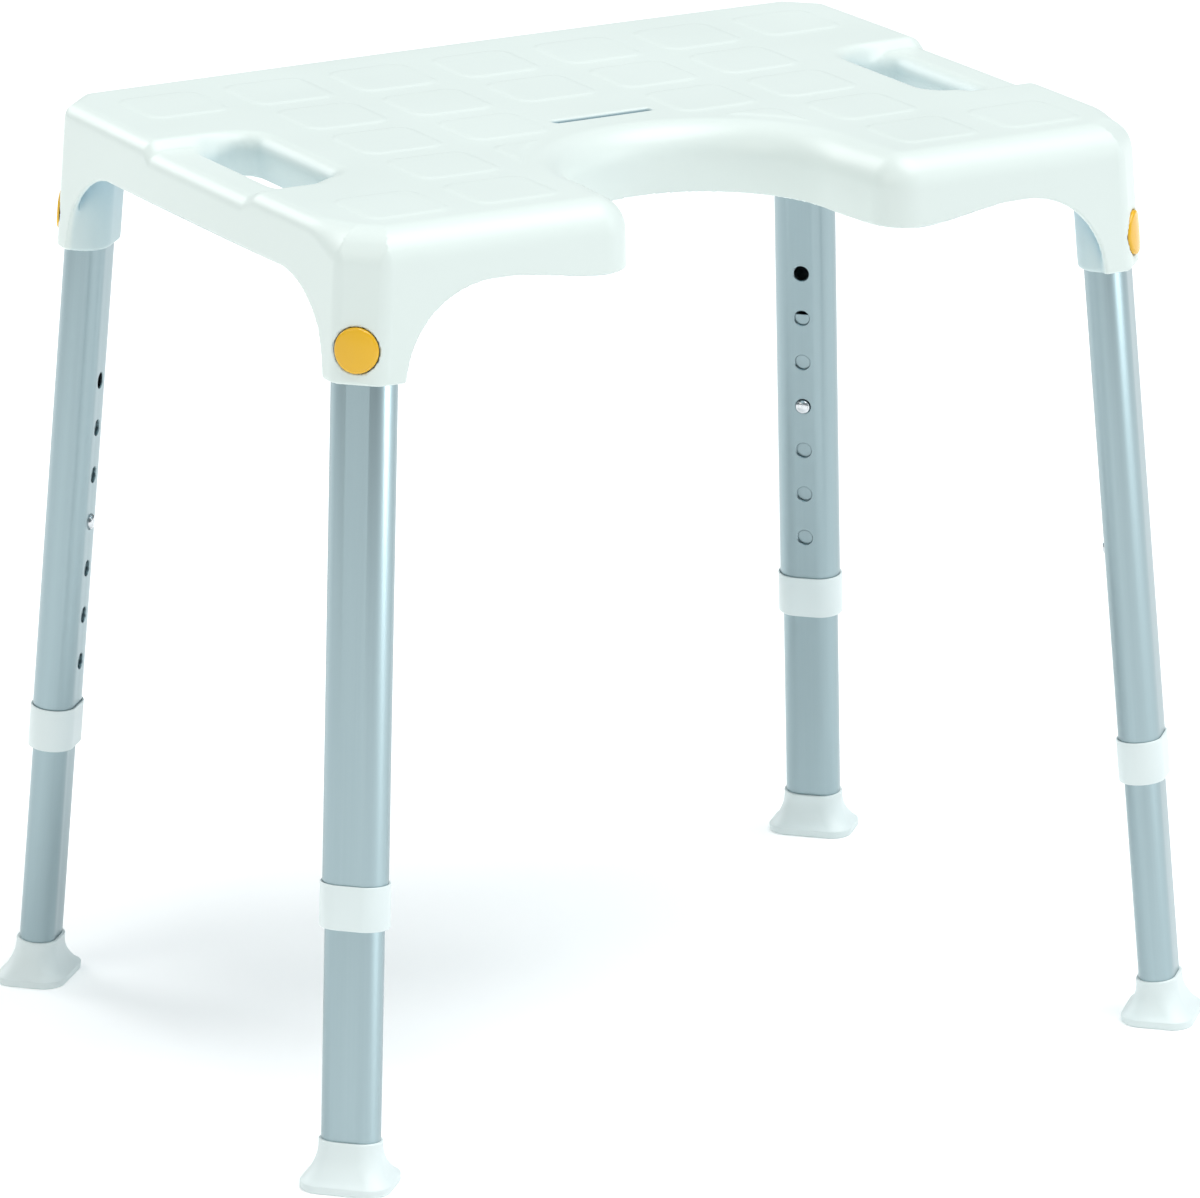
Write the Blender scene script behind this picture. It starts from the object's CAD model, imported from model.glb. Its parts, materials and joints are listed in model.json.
"""Shower stool: the finished look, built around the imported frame. Lengths in the shape functions are in
millimetres, in the frame's own axes: +Z up, +X right, -Y front. MM turns them into Blender's metres."""
import json
import math

import bpy
import numpy as np
from mathutils import Matrix, Vector


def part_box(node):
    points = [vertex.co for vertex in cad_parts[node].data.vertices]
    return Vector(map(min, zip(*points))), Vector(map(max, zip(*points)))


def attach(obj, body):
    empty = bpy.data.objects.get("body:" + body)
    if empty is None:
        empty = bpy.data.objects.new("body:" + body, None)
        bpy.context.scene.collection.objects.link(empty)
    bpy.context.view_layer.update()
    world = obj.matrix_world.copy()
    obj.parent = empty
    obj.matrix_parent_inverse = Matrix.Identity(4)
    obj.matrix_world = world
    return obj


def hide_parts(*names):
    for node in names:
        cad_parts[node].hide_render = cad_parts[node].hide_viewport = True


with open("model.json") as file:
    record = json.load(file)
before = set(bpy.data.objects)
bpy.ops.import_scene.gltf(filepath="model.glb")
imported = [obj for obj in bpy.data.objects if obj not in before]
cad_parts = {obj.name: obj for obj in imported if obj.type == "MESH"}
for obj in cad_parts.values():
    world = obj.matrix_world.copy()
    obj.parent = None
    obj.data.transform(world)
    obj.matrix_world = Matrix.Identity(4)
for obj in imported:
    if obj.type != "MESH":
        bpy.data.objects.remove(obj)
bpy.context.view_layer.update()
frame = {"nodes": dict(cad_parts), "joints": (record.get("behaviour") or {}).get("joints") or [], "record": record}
MM = 0.001

LEGS = ("front_left", "front_right", "back_left", "back_right")
JOINTS = {joint["name"]: joint for joint in frame["joints"]}
MOUNTS = {mount["name"]: mount for mount in frame["record"]["mounts"]}


# ---- Places taken from the frame ----

def leg_matrix(leg):
    """A leg's own frame: origin on the floor, +Z up the leg, +X outwards."""
    up = -Vector(JOINTS["height_" + leg]["axis"]).normalized()
    out = Vector(JOINTS["snap_pin_" + leg]["axis"]).normalized()
    side = up.cross(out)
    turn = Matrix((out, side, up)).transposed().to_4x4()
    return Matrix.Translation(Vector(MOUNTS["sole_" + leg]["pos_m"])) @ turn


def leg_box(node, leg):
    """Lowest and highest corner of a CAD node in its leg's frame, in millimetres."""
    inverse = leg_matrix(leg).inverted()
    corners = np.array([inverse @ v.co for v in frame["nodes"][node].data.vertices]) / MM
    return corners.min(axis=0), corners.max(axis=0)


SEAT_LOW, SEAT_HIGH = (np.array(corner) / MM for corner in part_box("seat"))
LEG = leg_matrix("front_right")
LEG_FOOT = np.abs(np.array(LEG.translation)) / MM
LEG_TILT = math.asin(LEG[2][0])
LEG_SLOPE = abs(LEG[0][2] / LEG[2][2])
OUTER_LOW, OUTER_HIGH = leg_box("outer_tube_front_left", "front_left")
INNER_LOW, INNER_HIGH = leg_box("inner_tube_front_left", "front_left")
COLLAR_LOW, COLLAR_HIGH = leg_box("collar_front_left", "front_left")
PIN_LOW, PIN_HIGH = leg_box("height_pin_front_left", "front_left")
BUTTON_LOW, BUTTON_HIGH = leg_box("release_button_front_left", "front_left")
FOOT_HIGH = leg_box("foot_front_left", "front_left")[1]
PIN_Z = (PIN_LOW[2] + PIN_HIGH[2]) / 2
BUTTON_Z = (BUTTON_LOW[2] + BUTTON_HIGH[2]) / 2
HOLE_PITCH = 25.0
HOLE_COUNT = 7
TUBE_WALL = 1.3


# ---- Distance fields ----

def smooth_step(low, high, value):
    t = np.clip((value - low) / (high - low), 0, 1)
    return t * t * (3 - 2 * t)


def round_cut(a, b, radius):
    """Where both a and b are inside, with their common edge rounded."""
    outside = np.hypot(np.maximum(a + radius, 0), np.maximum(b + radius, 0))
    return np.minimum(np.maximum(a, b), -radius) + outside


def round_join(a, b, radius):
    """Where a or b is inside, with a fillet in the corner between them."""
    return -round_cut(-a, -b, radius)


def rounded_box(across, along, half_across, half_along, radius):
    u = np.abs(across) - half_across + radius
    v = np.abs(along) - half_along + radius
    return np.hypot(np.maximum(u, 0), np.maximum(v, 0)) + np.minimum(np.maximum(u, v), 0) - radius


def oval(short_way, long_way, short, long):
    """Flat oval: a circle of the short side stretched along the long side."""
    return np.hypot(np.maximum(np.abs(long_way) - (long - short) / 2, 0), short_way) - short / 2


# ---- Seat ----

SEAT_TOP = SEAT_HIGH[2]
PAD_H = 0.6
DECK = SEAT_TOP - PAD_H
HALF_W = 222.0
HALF_D = 161.5
BOW = 2.0
CHAMFER = 17.0
CORNER_EDGE_R = 2.8
# The front's and back's lean, and the corners', as shares of the sides', which lean as the legs do
END_LEAN = 0.35
CORNER_LEAN = 1.6
WALL = 3.0
# Radius of the rolled edge at the back and sides, and how much more it is at the front and the recess
ROLL_R = 8.0
ROLL_MORE = 9.0

RECESS_R = 67.0
RECESS_Y = -109.0
RECESS_FLARE = 3.5
RECESS_FLOOR = 431.0
LOBE_R = 18.0

SLOT_X = 183.5
SLOT_HALF = (14.0, 46.0)
SLOT_R = 12.0
SLOT_ROLL_R = 9.0
SLOT_FLOOR = 444.5
SLIT_Y = -6.0
SLIT_W = 5.0
SLIT_LENGTH = 56.0
SLIT_EDGE_R = 1.6

ARCH_R = 47.5
ARCH_TOP = 437.5
ARCH_X = 149.0
ARCH_Y = 89.0
# The arches cut only the skirt: the front and back beyond this y, the sides beyond this x
SKIRT_Y = 142.0
SKIRT_X = 200.0
# The front skirt reaches this much lower beside the recess than over the legs
LOBE_DROP = 6.0

DISH = 1.6
RAIL_DROP = 4.5

PAD_PITCH = (59.25, 56.7)
PAD_HALF = 21.5
PAD_R = 8.0
PAD_EDGE = 1.7
PAD_Y = 112.4
PAD_MARGIN = 24.0
# Rows from the back to the front, columns from left to right
PAD_ROWS = ("#######", ".#####.", ".##.##.", ".##.##.", "##...##")
PAD_THERE = np.array([[mark == "#" for mark in row] for row in PAD_ROWS])

SOCKET = (26.7, 39.4)
BORE_GAP = 0.5
BUTTON_GAP = 0.2
RIB_Y = (96.0, 28.0)
RIB_X = (142.0, 88.0)
RIB_HALF_T = 1.2
RIB_DEPTH = 16.0


def recess_plan(x, y):
    flare = RECESS_FLARE * smooth_step(0, 53, RECESS_Y - y)
    return np.where(y > RECESS_Y, np.hypot(x, y - RECESS_Y) - RECESS_R, np.abs(x) - RECESS_R - flare)


def slot_plan(x, y):
    return rounded_box(np.abs(x) - SLOT_X, y, *SLOT_HALF, SLOT_R)


def outline_plan(x, y, z):
    """Chamfered rectangle whose sides bow out a little and lean out with the legs."""
    lean = LEG_SLOPE * (SEAT_TOP - z)
    side = np.abs(x) - HALF_W - lean - BOW * (1 - (y / HALF_D) ** 2)
    end = np.abs(y) - HALF_D - END_LEAN * lean - BOW * (1 - (x / HALF_W) ** 2)
    corner = (np.abs(x) + np.abs(y) - HALF_W - HALF_D + CHAMFER - CORNER_LEAN * lean) / math.sqrt(2)
    return np.maximum(round_cut(side, corner, CORNER_EDGE_R), round_cut(end, corner, CORNER_EDGE_R))


def pads_height(x, y):
    """Share of full pad height at a place on the deck."""
    column = np.clip(np.rint(x / PAD_PITCH[0]), -3, 3)
    row = np.clip(np.rint((PAD_Y - y) / PAD_PITCH[1]), 0, 4)
    pad = rounded_box(x - column * PAD_PITCH[0], y - PAD_Y + row * PAD_PITCH[1], PAD_HALF, PAD_HALF, PAD_R)
    pad = np.where(PAD_THERE[row.astype(int), column.astype(int) + 3], pad, PAD_HALF)
    pad = np.maximum(pad, PAD_MARGIN - recess_plan(x, y))
    return smooth_step(PAD_EDGE, -PAD_EDGE, pad)


def deck_height(x, y):
    """Height of the top face: dished in the middle, and lower on the rails outside the handle slots."""
    dish = DISH * np.clip(1 - (y / 150) ** 2, 0, 1) * np.clip(1 - (x / 205) ** 2, 0, 1)
    rail = RAIL_DROP * smooth_step(176, 192, np.abs(x)) * smooth_step(55, 47, y) * smooth_step(-62, -48, y)
    return DECK - dish - rail + PAD_H * pads_height(x, y)


def leg_coordinates(x, y, z):
    """Outwards, sideways and along-the-leg coordinates in the nearest leg's frame."""
    foot = np.array([LEG_FOOT[0], LEG_FOOT[1], 0]).reshape(3, *[1] * np.ndim(x))
    place = np.stack([np.abs(x), np.abs(y), z]) - foot
    out = np.array(LEG.col[0][:3])
    up = np.array(LEG.col[2][:3])
    out = np.array([abs(out[0]), abs(out[1]), out[2]])
    up = np.array([-abs(up[0]), -abs(up[1]), up[2]])
    side = np.cross(up, out)
    return tuple(np.tensordot(axis, place, axes=1) for axis in (out, side, up))


def wall_plan(x, y, z):
    """Distance to the seat's outer walls, the recess's among them, as seen from above."""
    return round_cut(outline_plan(x, y, z), -recess_plan(x, y), LOBE_R)


def block_field(x, y, z):
    """Distance to the seat's outer skin: a rolled deck with its recess, slots and slit, solid below."""
    rise = z - deck_height(x, y)
    near_front = smooth_step(-115, -145, y)
    near_recess = smooth_step(45, 22, recess_plan(x, y))
    roll = ROLL_R + ROLL_MORE * np.maximum(near_front, near_recess)
    slit = oval(y - SLIT_Y, x, SLIT_W, SLIT_LENGTH)
    block = round_cut(wall_plan(x, y, z), rise, roll)
    block = np.maximum(block, round_cut(-slot_plan(x, y), rise, SLOT_ROLL_R))
    return np.maximum(block, round_cut(-slit, rise, SLIT_EDGE_R))


def open_field(x, y, z):
    """Distance to the space below the skirt's and the inner walls' lower edges."""
    recess = recess_plan(x, y)
    dip = LOBE_DROP * smooth_step(142, 88, np.abs(x)) * (y < 0)
    rise_over_arch = np.maximum(z - ARCH_TOP + ARCH_R, 0)
    front = np.hypot(np.maximum(np.abs(x) - ARCH_X, 0), rise_over_arch) - ARCH_R + dip
    side = np.hypot(np.maximum(np.abs(y) - ARCH_Y, 0), rise_over_arch) - ARCH_R
    return np.minimum.reduce([
        np.maximum(front, SKIRT_Y - np.abs(y)),
        np.maximum(side, SKIRT_X - np.abs(x)),
        np.maximum(z - RECESS_FLOOR, wall_plan(x, y, z) + WALL + 0.3),
        np.maximum(np.maximum(z - RECESS_FLOOR, recess - 10), -150 - y),
        np.maximum(z - SLOT_FLOOR, slot_plan(x, y) - 7)])


def rib_field(x, y, z):
    """Distance to the ribs that cross under the deck."""
    middles = [np.abs(y - place) for place in RIB_Y] + [np.abs(np.abs(x) - place) for place in RIB_X]
    return np.maximum(np.minimum.reduce(middles) - RIB_HALF_T, SEAT_TOP - RIB_DEPTH - z)


def seat_field(x, y, z):
    """Distance to the seat's surface: a 3 mm skin under the deck, with sockets and ribs."""
    block = block_field(x, y, z)
    skin = round_cut(np.maximum(block, -block - WALL), -open_field(x, y, z), 0.9)

    out, across, along = leg_coordinates(x, y, z)
    sleeve = np.maximum(oval(out, across, *SOCKET), block)
    solid = np.maximum(round_join(skin, sleeve, 3), block)
    solid = round_cut(solid, SEAT_LOW[2] - z, 1.6)
    solid = round_join(solid, np.maximum(rib_field(x, y, z), block + 2.4), 1.2)

    bore = oval(out, across, OUTER_HIGH[0] * 2 + BORE_GAP, OUTER_HIGH[1] * 2 + BORE_GAP)
    bore = np.maximum(bore, along - OUTER_HIGH[2] - BORE_GAP)
    bore = np.maximum(bore, block + 2.6)
    solid = round_cut(solid, -bore, 0.7)
    button = np.hypot(across, along - BUTTON_Z) - (BUTTON_HIGH[1] + BUTTON_GAP)
    button = np.maximum(button, -out)
    return round_cut(solid, -button, 0.6)


def surface_net(field, low, high, step):
    """Closed quad mesh of a distance field's surface, with its vertices moved onto it.

    Each grid cell that the surface passes through gets one vertex, at the mean of its edges' crossings,
    and each grid edge that it crosses gets one face, between the four cells round that edge.
    """
    axes = [np.arange(a, b + step, step) for a, b in zip(low, high)]
    grid = np.meshgrid(*axes, indexing="ij")
    value = np.concatenate([field(*(g[i:i + 24] for g in grid)) for i in range(0, len(axes[0]), 24)])
    inside = value < 0
    cells = tuple(n - 1 for n in inside.shape)
    total = np.zeros(cells + (3,))
    count = np.zeros(cells)

    def corner(i, j, k):
        return tuple(slice(o, o + n) for o, n in zip((i, j, k), cells))

    for axis in range(3):
        others = [a for a in range(3) if a != axis]
        for first in (0, 1):
            for second in (0, 1):
                start = [0, 0, 0]
                start[others[0]] = first
                start[others[1]] = second
                end = list(start)
                end[axis] = 1
                a = value[corner(*start)]
                b = value[corner(*end)]
                crossed = inside[corner(*start)] != inside[corner(*end)]
                share = np.where(crossed, a / np.where(crossed, a - b, 1), 0)
                place = np.zeros(cells + (3,))
                place[..., others[0]] = first
                place[..., others[1]] = second
                place[..., axis] = share
                total += np.where(crossed[..., None], place, 0)
                count += crossed
    active = count > 0
    index = np.full(cells, -1)
    index[active] = np.arange(active.sum())
    base = np.stack(np.nonzero(active), axis=1)
    points = np.array(low) + (base + total[active] / count[active][:, None]) * step

    quads = []
    for axis in range(3):
        u, v = [a for a in range(3) if a != axis]
        low_side = [slice(1, n) for n in cells]
        low_side[axis] = slice(0, cells[axis])
        high_side = [slice(1, n) for n in cells]
        high_side[axis] = slice(1, cells[axis] + 1)
        a = inside[tuple(low_side)]
        b = inside[tuple(high_side)]
        for change, flip in ((a & ~b, False), (~a & b, True)):
            at = np.stack(np.nonzero(change), axis=1)
            shift = np.zeros(3, int)
            shift[[u, v]] = 1
            at = at + shift
            ring = []
            for du, dv in ((1, 1), (0, 1), (0, 0), (1, 0)):
                cell = at.copy()
                cell[:, u] -= du
                cell[:, v] -= dv
                ring.append(index[tuple(cell.T)])
            quad = np.stack(ring, axis=1)
            quads.append(quad[:, ::-1] if flip != (axis == 1) else quad)
    faces = np.concatenate(quads)

    points = onto_surface(field, points, step, 3)
    for _ in range(3):
        points = onto_surface(field, evened(points, faces), step, 2)
    return points, faces


def surface_normals(field, points):
    gradient = field_gradient(field, points)
    return gradient / np.maximum(np.linalg.norm(gradient, axis=1, keepdims=True), 1e-9)


def evened(points, faces):
    """Points moved half-way to the middle of their neighbours, which evens out the faces."""
    total = np.zeros_like(points)
    for shift in (1, -1):
        beside = np.roll(faces, shift, axis=1).ravel()
        for axis in range(3):
            total[:, axis] += np.bincount(faces.ravel(), points[beside, axis], len(points))
    count = 2 * np.bincount(faces.ravel(), minlength=len(points))
    return (points + total / count[:, None]) / 2


def onto_surface(field, points, step, rounds):
    for _ in range(rounds):
        gradient = field_gradient(field, points)
        size = np.maximum((gradient ** 2).sum(axis=1), 0.05)
        move = (field(*points.T) / size)[:, None] * gradient
        length = np.linalg.norm(move, axis=1, keepdims=True)
        points = points - move * np.minimum(1, 0.4 * step / np.maximum(length, 1e-9))
    return points


def field_gradient(field, points, reach=0.05):
    gradient = np.empty_like(points)
    for axis in range(3):
        shift = np.zeros(3)
        shift[axis] = reach
        gradient[:, axis] = (field(*(points + shift).T) - field(*(points - shift).T)) / (2 * reach)
    return gradient


# ---- Meshes ----

def add_piece(name, points, faces, place=None):
    """Blender object from points in millimetres, standing in the frame or in place's frame."""
    mesh = bpy.data.meshes.new(name)
    mesh.from_pydata((np.asarray(points) * MM).tolist(), [], np.asarray(faces, dtype=object).tolist())
    mesh.validate()
    mesh.shade_smooth()
    piece = bpy.data.objects.new(name, mesh)
    bpy.context.scene.collection.objects.link(piece)
    if place is not None:
        piece.matrix_world = place
    return piece


def loft(rings, closed):
    """Points and faces of a skin over rings of equal length; closed joins the last ring to the first."""
    rings = [np.asarray(ring) for ring in rings]
    size = len(rings[0])
    points = np.concatenate(rings)
    faces = []
    last = len(rings) if closed else len(rings) - 1
    for r in range(last):
        a = r * size
        b = (r + 1) % len(rings) * size
        for i in range(size):
            j = (i + 1) % size
            faces.append([a + i, a + j, b + j, b + i])
    if not closed:
        faces.append(list(range(size))[::-1])
        faces.append([(len(rings) - 1) * size + i for i in range(size)])
    return points, faces


def ring_points(half_x, half_y, radius, z, arc=16):
    """One ring of a rounded rectangle, anticlockwise seen from +Z."""
    ring = []
    for quarter, (sx, sy) in enumerate(((1, 1), (-1, 1), (-1, -1), (1, -1))):
        for step in range(arc + 1):
            angle = math.radians(90) * (quarter + step / arc)
            ring.append((sx * (half_x - radius) + radius * math.cos(angle),
                         sy * (half_y - radius) + radius * math.sin(angle), z))
    return np.array(ring)


def oval_ring(half_short, half_long, z, arc=24):
    return ring_points(half_short, half_long, half_short - 0.001, z, arc)


def arc_points(middle, height, radius, start, end, steps):
    """Arc in a cross-section, as (distance, height) pairs; the angles are in degrees."""
    angles = [math.radians(start + (end - start) * step / steps) for step in range(steps + 1)]
    return [(middle + radius * math.cos(angle), height + radius * math.sin(angle)) for angle in angles]


def bevelled_ring_profile(inner, outer, low, high, bevel, steps=4):
    """Cross-section of a sleeve, as (growth, height) pairs: outer wall up, inner wall down."""
    profile = []
    corners = ((outer - bevel, low + bevel, -90), (outer - bevel, high - bevel, 0),
               (inner + bevel, high - bevel, 90), (inner + bevel, low + bevel, 180))
    for corner_x, corner_z, start in corners:
        profile += arc_points(corner_x, corner_z, bevel, start, start + 90, steps)
    return profile


def oval_sleeve(half_short, half_long, wall, low, high, bevel):
    """Oval tube or band whose outside is half_short by half_long, with bevelled rims."""
    profile = bevelled_ring_profile(-wall, 0, low, high, bevel)
    return loft([oval_ring(half_short + grow, half_long + grow, z) for grow, z in profile], closed=True)


def lathe(profile, segments=64):
    """Points and faces of a profile of (radius, height) pairs turned about +Z, closed at both ends."""
    angles = np.linspace(0, 2 * math.pi, segments, endpoint=False)
    rings = []
    for radius, height in profile:
        ring = [radius * np.cos(angles), radius * np.sin(angles), np.full(segments, height)]
        rings.append(np.stack(ring, axis=1))
    return loft(rings, closed=False)


def apply_modifiers(piece):
    bpy.context.view_layer.update()
    graph = bpy.context.evaluated_depsgraph_get()
    mesh = bpy.data.meshes.new_from_object(piece.evaluated_get(graph))
    piece.modifiers.clear()
    old = piece.data
    piece.data = mesh
    bpy.data.meshes.remove(old)


def cut(piece, cutters):
    """Takes the cutters' shapes out of a piece and removes the cutters."""
    for cutter in cutters:
        modifier = piece.modifiers.new("cut", "BOOLEAN")
        modifier.object = cutter
        modifier.solver = "EXACT"
    apply_modifiers(piece)
    for cutter in cutters:
        bpy.data.objects.remove(cutter)


def thin_out(piece, share):
    """Leaves a share of the faces, most of them where the surface curves."""
    modifier = piece.modifiers.new("thin", "DECIMATE")
    modifier.ratio = share
    apply_modifiers(piece)
    piece.data.shade_smooth()


def crease(piece, degrees=35):
    piece.data.shade_smooth()
    piece.data.set_sharp_from_angle(angle=math.radians(degrees))


def outwards(height, turn=90):
    """Turns a shape built along +Z so that it points out of a leg at a height along it."""
    return Matrix.Translation((0, 0, height * MM)) @ Matrix.Rotation(math.radians(turn), 4, "Y")


def inwards(height):
    return outwards(height, -90)


# ---- Materials ----

def new_material(name):
    material = bpy.data.materials.new(name)
    material.use_nodes = True
    return material, material.node_tree, material.node_tree.nodes["Principled BSDF"]


def noise(tree, scale, detail, stretch=(1, 1, 1)):
    """Noise in the piece's own coordinates, stretched where the scale factors are small."""
    place = tree.nodes.new("ShaderNodeTexCoord")
    mapping = tree.nodes.new("ShaderNodeMapping")
    mapping.inputs["Scale"].default_value = stretch
    texture = tree.nodes.new("ShaderNodeTexNoise")
    texture.inputs["Scale"].default_value = scale
    texture.inputs["Detail"].default_value = detail
    tree.links.new(place.outputs["Object"], mapping.inputs["Vector"])
    tree.links.new(mapping.outputs["Vector"], texture.inputs["Vector"])
    return texture.outputs["Fac"]


def ramp(tree, source, low, high, from_low=0.3, from_high=0.7):
    """Maps a value between from_low and from_high to a number between low and high."""
    node = tree.nodes.new("ShaderNodeMapRange")
    node.inputs["From Min"].default_value = from_low
    node.inputs["From Max"].default_value = from_high
    node.inputs["To Min"].default_value = low
    node.inputs["To Max"].default_value = high
    tree.links.new(source, node.inputs["Value"])
    return node.outputs["Result"]


def colour_ramp(tree, source, low, high, from_low=0.3, from_high=0.7):
    """Maps a value to a colour from low to high, where high is a colour or another node's output."""
    mix = tree.nodes.new("ShaderNodeMix")
    mix.data_type = "RGBA"
    mix.inputs["A"].default_value = (*low, 1)
    if isinstance(high, tuple):
        mix.inputs["B"].default_value = (*high, 1)
    else:
        tree.links.new(high, mix.inputs["B"])
    tree.links.new(ramp(tree, source, 0, 1, from_low, from_high), mix.inputs["Factor"])
    return mix.outputs["Result"]


def bump(tree, source, strength, distance):
    node = tree.nodes.new("ShaderNodeBump")
    node.inputs["Strength"].default_value = strength
    node.inputs["Distance"].default_value = distance
    tree.links.new(source, node.inputs["Height"])
    return node.outputs["Normal"]


def hollow_tint(tree, body, deep):
    """Turns the body colour to deep in a piece's hollows, and more so where its inset attribute is 1."""
    hollow = tree.nodes.new("ShaderNodeAmbientOcclusion")
    hollow.only_local = True
    hollow.inputs["Distance"].default_value = 0.09
    inset = tree.nodes.new("ShaderNodeAttribute")
    inset.attribute_name = "inset"
    openness = tree.nodes.new("ShaderNodeMath")
    openness.operation = "SUBTRACT"
    tree.links.new(hollow.outputs["AO"], openness.inputs[0])
    tree.links.new(ramp(tree, inset.outputs["Fac"], 0, 0.3, 0, 1), openness.inputs[1])
    return colour_ramp(tree, openness.outputs["Value"], deep, body, 0.35, 0.92)


def moulded_plastic(name, colour, shade, roughness, grain=0.05, deep=None):
    """Moulded plastic: slight cloudiness, uneven gloss, a fine orange-peel skin, and a tint in hollows."""
    material, tree, shader = new_material(name)
    body = colour_ramp(tree, noise(tree, 7, 1), colour, shade)
    if deep is not None:
        body = hollow_tint(tree, body, deep)
    tree.links.new(body, shader.inputs["Base Color"])
    gloss = ramp(tree, noise(tree, 16, 2), roughness - 0.02, roughness + 0.03)
    tree.links.new(gloss, shader.inputs["Roughness"])
    tree.links.new(bump(tree, noise(tree, 500, 1), grain, 0.0001), shader.inputs["Normal"])
    shader.inputs["IOR"].default_value = 1.49
    return material


def brushed_metal(name, colour, shade, roughness):
    """Metal with a fine grain that runs along the piece's own Z."""
    material, tree, shader = new_material(name)
    along = (1, 1, 0.012)
    fine = noise(tree, 900, 3, along)
    tree.links.new(colour_ramp(tree, fine, colour, shade, 0.25, 0.75), shader.inputs["Base Color"])
    gloss = noise(tree, 260, 4, along)
    tree.links.new(ramp(tree, gloss, roughness - 0.03, roughness + 0.05), shader.inputs["Roughness"])
    tree.links.new(bump(tree, fine, 0.05, 0.00005), shader.inputs["Normal"])
    shader.inputs["Metallic"].default_value = 1.0
    return material


MATERIALS = {
    "seat_plastic": moulded_plastic("seat_plastic", (0.71, 0.785, 0.757), (0.695, 0.77, 0.742), 0.38,
                                    deep=(0.40, 0.56, 0.62)),
    "collar_plastic": moulded_plastic("collar_plastic", (0.73, 0.80, 0.80), (0.70, 0.78, 0.78), 0.36),
    "foot_rubber": moulded_plastic("foot_rubber", (0.72, 0.79, 0.79), (0.68, 0.76, 0.76), 0.45, 0.2),
    "tube_aluminium": brushed_metal("tube_aluminium", (0.305, 0.39, 0.415), (0.315, 0.40, 0.425), 0.32),
    "pin_steel": brushed_metal("pin_steel", (0.62, 0.64, 0.66), (0.70, 0.72, 0.74), 0.2),
    "spring_steel": brushed_metal("spring_steel", (0.35, 0.36, 0.38), (0.45, 0.46, 0.48), 0.35),
    "button_plastic": moulded_plastic("button_plastic", (0.80, 0.46, 0.02), (0.76, 0.41, 0.012), 0.22, 0.03),
}


def finish_piece(piece, slot, body, *nodes):
    """Gives a piece its material, its body and the CAD nodes that it stands for."""
    piece.data.materials.clear()
    piece.data.materials.append(MATERIALS[slot])
    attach(piece, body)
    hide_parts(*nodes)


# ---- Pieces ----

def build_seat():
    margin = 4
    low = np.floor(SEAT_LOW) - margin
    high = np.ceil(SEAT_HIGH) + margin
    seat = add_piece("seat_moulding", *surface_net(seat_field, low, high, 1.5))
    thin_out(seat, 0.43)
    points = np.empty(len(seat.data.vertices) * 3)
    seat.data.vertices.foreach_get("co", points)
    points = points.reshape(-1, 3) / MM
    seat.data.normals_split_custom_set_from_vertices(surface_normals(seat_field, points).tolist())
    inset = seat.data.attributes.new("inset", "FLOAT", "POINT")
    inset.data.foreach_set("value", smooth_step(0.4, 3.0, -block_field(*points.T)))
    finish_piece(seat, "seat_plastic", "seat_frame", "seat")


def hole_cutter(radius, near, far):
    """Drill with a small countersink where it breaks the surface at far."""
    return lathe([(radius, near), (radius, far - 0.4), (radius + 1.4, far + 1.0)], 48)


def build_outer_tube(leg):
    place = leg_matrix(leg)
    shape = oval_sleeve(OUTER_HIGH[0], OUTER_HIGH[1], TUBE_WALL, OUTER_LOW[2], OUTER_HIGH[2], 0.3)
    tube = add_piece("outer_tube_metal_" + leg, *shape, place)
    cutters = []
    for i in range(HOLE_COUNT):
        height = PIN_Z + (i - (HOLE_COUNT - 1) / 2) * HOLE_PITCH
        cutters.append(add_piece("drill", *hole_cutter(4.0, 4, OUTER_HIGH[0]), place @ inwards(height)))
    cutters.append(add_piece("drill", *hole_cutter(5.2, 4, OUTER_HIGH[0]), place @ outwards(BUTTON_Z)))
    cut(tube, cutters)
    crease(tube)
    finish_piece(tube, "tube_aluminium", "seat_frame", "outer_tube_" + leg)


def build_inner_tube(leg):
    place = leg_matrix(leg)
    shape = oval_sleeve(INNER_HIGH[0], INNER_HIGH[1], TUBE_WALL, INNER_LOW[2], INNER_HIGH[2], 0.3)
    tube = add_piece("inner_tube_metal_" + leg, *shape, place)
    cut(tube, [add_piece("drill", *hole_cutter(3.9, 4, INNER_HIGH[0]), place @ inwards(PIN_Z))])
    crease(tube)
    finish_piece(tube, "tube_aluminium", "leg_" + leg, "inner_tube_" + leg)


def build_collar(leg):
    """Band round the foot of the outer tube, with a lip that closes on the inner tube."""
    low, high = COLLAR_LOW[2], COLLAR_HIGH[2]
    half_short, half_long = COLLAR_HIGH[0] + 0.25, COLLAR_HIGH[1] + 0.25
    to_tube = OUTER_HIGH[0] - half_short
    to_inner = INNER_HIGH[0] + 0.2 - half_short
    step = OUTER_LOW[2] - 0.1
    profile = bevelled_ring_profile(to_tube, 0, low, high, 0.45)
    lip = [(to_inner, step), (to_inner, low + 0.3), (to_inner + 0.3, low)]
    profile = [p for p in profile if not (p[0] < -0.3 and p[1] < step)]
    profile = profile + [(to_tube, step)] + lip
    shape = loft([oval_ring(half_short + grow, half_long + grow, z) for grow, z in profile], closed=True)
    collar = add_piece("collar_band_" + leg, *shape, leg_matrix(leg))
    crease(collar, 50)
    finish_piece(collar, "collar_plastic", "seat_frame", "collar_" + leg)


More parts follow.
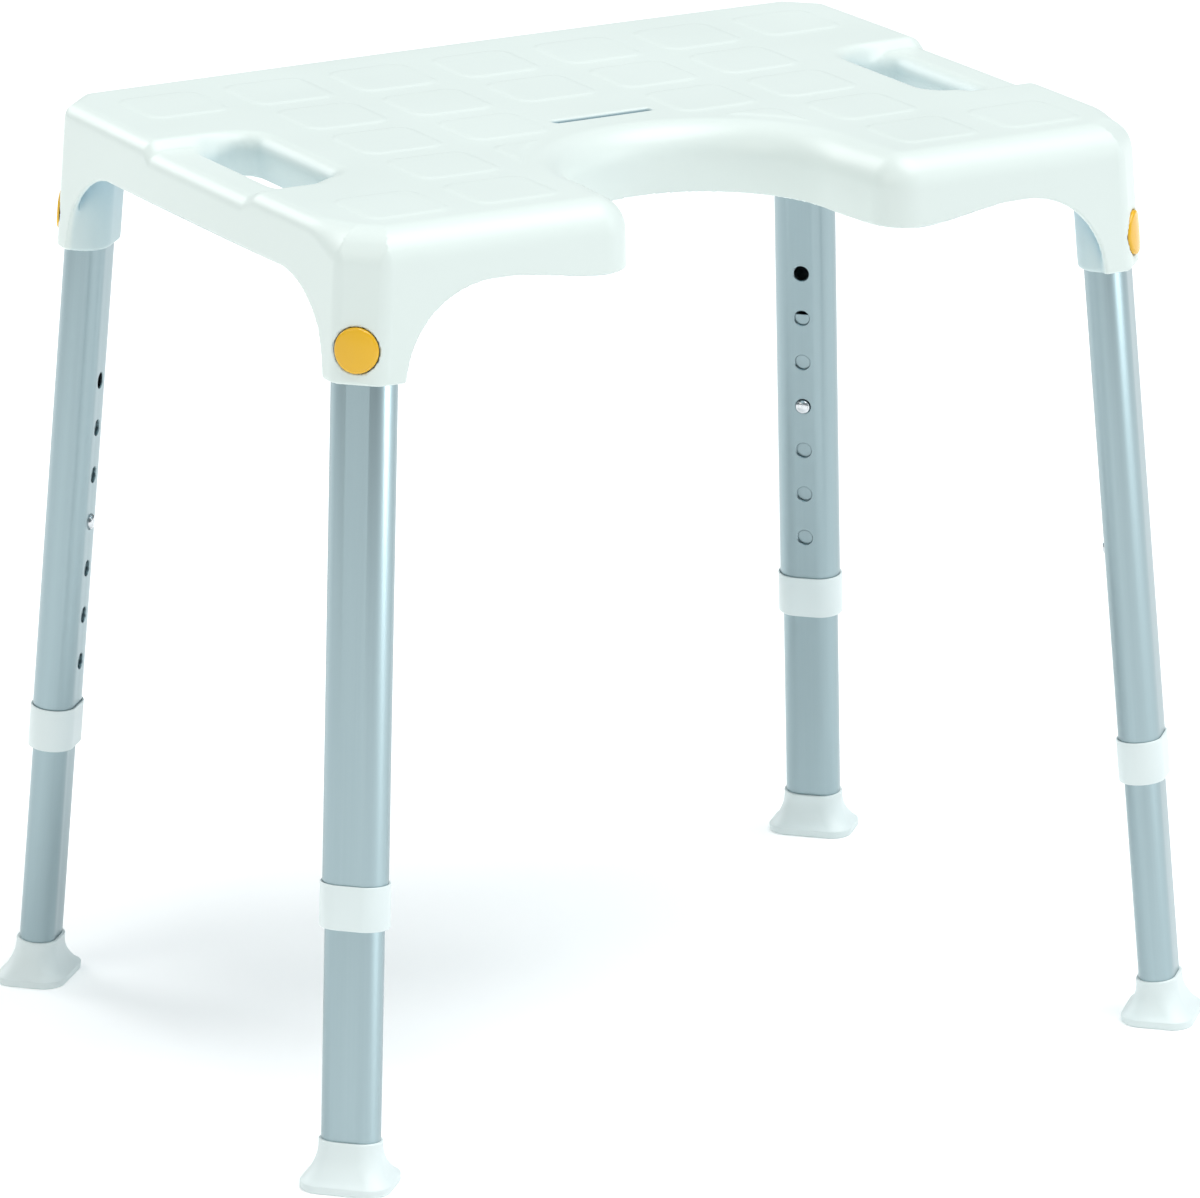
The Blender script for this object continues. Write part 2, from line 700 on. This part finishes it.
def build_foot(leg):
    """Flared foot: a level sole with ring treads, a straight rim, a concave flare and a rim at the tube."""
    sole = (18.5, 22.75)
    sole_corner = 11
    top = (INNER_HIGH[0] + 1.6, INNER_HIGH[1] + 1.2)
    top_z = FOOT_HIGH[2]
    rim = 4.2
    tread = 1.4
    edge = 0.9
    top_edge = 0.6
    flare_steps = 14
    rings = []

    def add_ring(share, grow, height, lean):
        """share 0 is the sole's outline, 1 is the top rim's; lean turns the ring square to the leg."""
        half_x = sole[0] + (top[0] - sole[0]) * share + grow
        half_y = sole[1] + (top[1] - sole[1]) * share + grow
        corner = max(sole_corner + (top[0] - sole_corner) * share + grow, 0.5)
        ring = ring_points(half_x, half_y, min(corner, half_x - 0.01), 0)
        turned = ring @ np.array(Matrix.Rotation(-LEG_TILT * lean, 3, "Y")).T
        axis = np.array([-math.sin(LEG_TILT), 0, math.cos(LEG_TILT)])
        rings.append(turned + axis * height / (1 if lean == 1 else math.cos(LEG_TILT)))

    for inset, height in ((16, tread), (12.5, tread), (11.9, 0), (9.5, 0),
                          (8.9, tread), (6.9, tread), (6.3, 0), (edge, 0)):
        add_ring(0, -inset, height, 0)
    for grow, height in arc_points(-edge, edge, edge, -90, 0, 4)[1:]:
        add_ring(0, grow, height, 0)
    add_ring(0, 0, rim - 0.8, 0)
    for grow, height in arc_points(-edge, rim - 0.8, edge, 0, 60, 4)[1:]:
        add_ring(0, grow, height, 0)
    for step in range(1, flare_steps + 1):
        t = step / flare_steps
        add_ring(1 - (1 - t) ** 2.3, edge * (t - 1), rim + (top_z - top_edge - rim) * t, t)
    for grow, height in arc_points(-top_edge, top_z - top_edge, top_edge, 0, 90, 4)[1:]:
        add_ring(1, grow, height, 1)
    inner = INNER_HIGH[0] + 0.1 - top[0]
    add_ring(1, inner, top_z, 1)
    add_ring(1, inner - 0.02, INNER_LOW[2], 1)

    place = leg_matrix(leg) @ Matrix.Rotation(LEG_TILT, 4, "Y")
    foot = add_piece("foot_flared_" + leg, *loft(rings, closed=False), place)
    crease(foot, 40)
    finish_piece(foot, "foot_rubber", "leg_" + leg, "foot_" + leg)


def build_pin(leg):
    """Snap pin: a flange on the spring, a straight shank and a domed head."""
    tip = -PIN_LOW[0]
    base = -PIN_HIGH[0]
    radius = 3.75
    dome = 1.6
    profile = [(0.05, base), (5.2, base), (5.2, base + 1), (radius, base + 1), (radius, tip - dome)]
    for step in range(1, 9):
        angle = math.radians(90 * step / 8)
        profile.append((max(radius * math.cos(angle), 0.05), tip - dome + dome * math.sin(angle)))
    pin = add_piece("snap_pin_head_" + leg, *lathe(profile, 48), leg_matrix(leg) @ inwards(PIN_Z))
    crease(pin, 40)
    finish_piece(pin, "pin_steel", "snap_pin_" + leg, "height_pin_" + leg)


def build_button(leg):
    """Release button: a disc on a stem, whose face curves round the leg and has a soft rim."""
    face = BUTTON_HIGH[0]
    base = BUTTON_LOW[0]
    radius = BUTTON_HIGH[1]
    under = face - 3.0
    curve = 32.0
    crown = 150.0
    rim = 1.1
    flange = 6.5
    stem = 5
    profile = [(0.05, base), (flange, base), (flange, base + 1), (stem, base + 1), (stem, under)]
    profile.append((radius, under))
    profile += arc_points(radius - rim, face - rim, rim, 0, 90, 6)
    profile += [(radius * share, face) for share in (0.85, 0.7, 0.55, 0.4, 0.25, 0.1, 0.005)]
    points, faces = lathe(profile, 96)
    drop = curve - np.sqrt(curve ** 2 - points[:, 1] ** 2)
    drop += crown - np.sqrt(crown ** 2 - points[:, 0] ** 2)
    points[:, 2] -= drop * smooth_step(under + 0.9, face - rim, points[:, 2])
    button = add_piece("release_cap_" + leg, points, faces, leg_matrix(leg) @ outwards(BUTTON_Z))
    crease(button, 40)
    finish_piece(button, "button_plastic", "button_" + leg, "release_button_" + leg)


def dress_springs(leg):
    for node in ("pin_spring_" + leg, "release_spring_" + leg):
        spring = frame["nodes"][node]
        spring.data.materials.clear()
        spring.data.materials.append(MATERIALS["spring_steel"])


# ---- Stage ----

def build_stage():
    """Pale floor that glows faintly, as a lit studio table does, so that shadows stay light."""
    half = 20.0 / MM
    corners = [(-half, -half, 0), (half, -half, 0), (half, half, 0), (-half, half, 0)]
    floor = add_piece("floor", corners, [[0, 1, 2, 3]])
    material, tree, shader = new_material("floor_paint")
    paint = colour_ramp(tree, noise(tree, 0.6, 2), (0.93, 0.94, 0.94), (0.95, 0.95, 0.95))
    tree.links.new(paint, shader.inputs["Base Color"])
    tree.links.new(ramp(tree, noise(tree, 3, 3), 0.6, 0.75), shader.inputs["Roughness"])
    shader.inputs["Emission Color"].default_value = (0.97, 0.99, 1, 1)
    shader.inputs["Emission Strength"].default_value = 0.18
    floor.data.materials.append(material)


def add_light(name, azimuth, elevation, power, spread, colour=(1, 1, 1)):
    """Distant soft light. Azimuth 0 is the front, and 90 is the right; spread is its width in the sky."""
    data = bpy.data.lights.new(name, "SUN")
    data.energy = power
    data.angle = math.radians(spread)
    data.color = colour
    lamp = bpy.data.objects.new(name, data)
    bpy.context.scene.collection.objects.link(lamp)
    lamp.rotation_euler = (math.radians(90 - elevation), 0, math.radians(azimuth))
    return lamp


def add_tube_light(leg, azimuth, power, spread):
    """Low light that only one leg's tubes receive."""
    lamp = add_light("tubes_" + leg, azimuth, 3, power, spread, (0.95, 0.99, 1))
    tubes = bpy.data.collections.new("tubes_" + leg)
    for part in ("outer_tube_metal_", "inner_tube_metal_"):
        tubes.objects.link(bpy.data.objects[part + leg])
    lamp.light_linking.receiver_collection = tubes


def build_lights():
    world = bpy.data.worlds.new("studio")
    bpy.context.scene.world = world
    world.use_nodes = True
    background = world.node_tree.nodes["Background"]
    background.inputs["Color"].default_value = (0.84, 0.95, 1.0, 1)
    background.inputs["Strength"].default_value = 0.22
    add_light("overhead", 45, 72, 2.9, 50)
    add_light("left", -75, 30, 0.6, 35, (1, 1, 0.93))
    add_light("right", 55, 18, 0.35, 25, (0.93, 0.98, 1))
    add_light("back", -160, 28, 0.9, 30)
    add_tube_light("front_left", 36, 2.6, 22)
    add_tube_light("front_right", 28, 1.8, 34)


def build_camera():
    """The photograph's angle: thirty degrees to the left of the front and seventeen above level."""
    data = bpy.data.cameras.new("camera")
    data.sensor_width = 36
    data.lens = 243.54
    data.clip_end = 60
    camera = bpy.data.objects.new("camera", data)
    bpy.context.scene.collection.objects.link(camera)
    camera.location = (-1.9512, -3.3903, 1.4350)
    camera.rotation_euler = (math.radians(90 - 17.36), 0, math.radians(-29.95))
    bpy.context.scene.camera = camera


build_camera()
build_stage()
build_seat()
for leg_name in LEGS:
    build_outer_tube(leg_name)
    build_inner_tube(leg_name)
    build_collar(leg_name)
    build_foot(leg_name)
    build_pin(leg_name)
    build_button(leg_name)
    dress_springs(leg_name)
build_lights()
bpy.context.scene.view_settings.view_transform = "Standard"
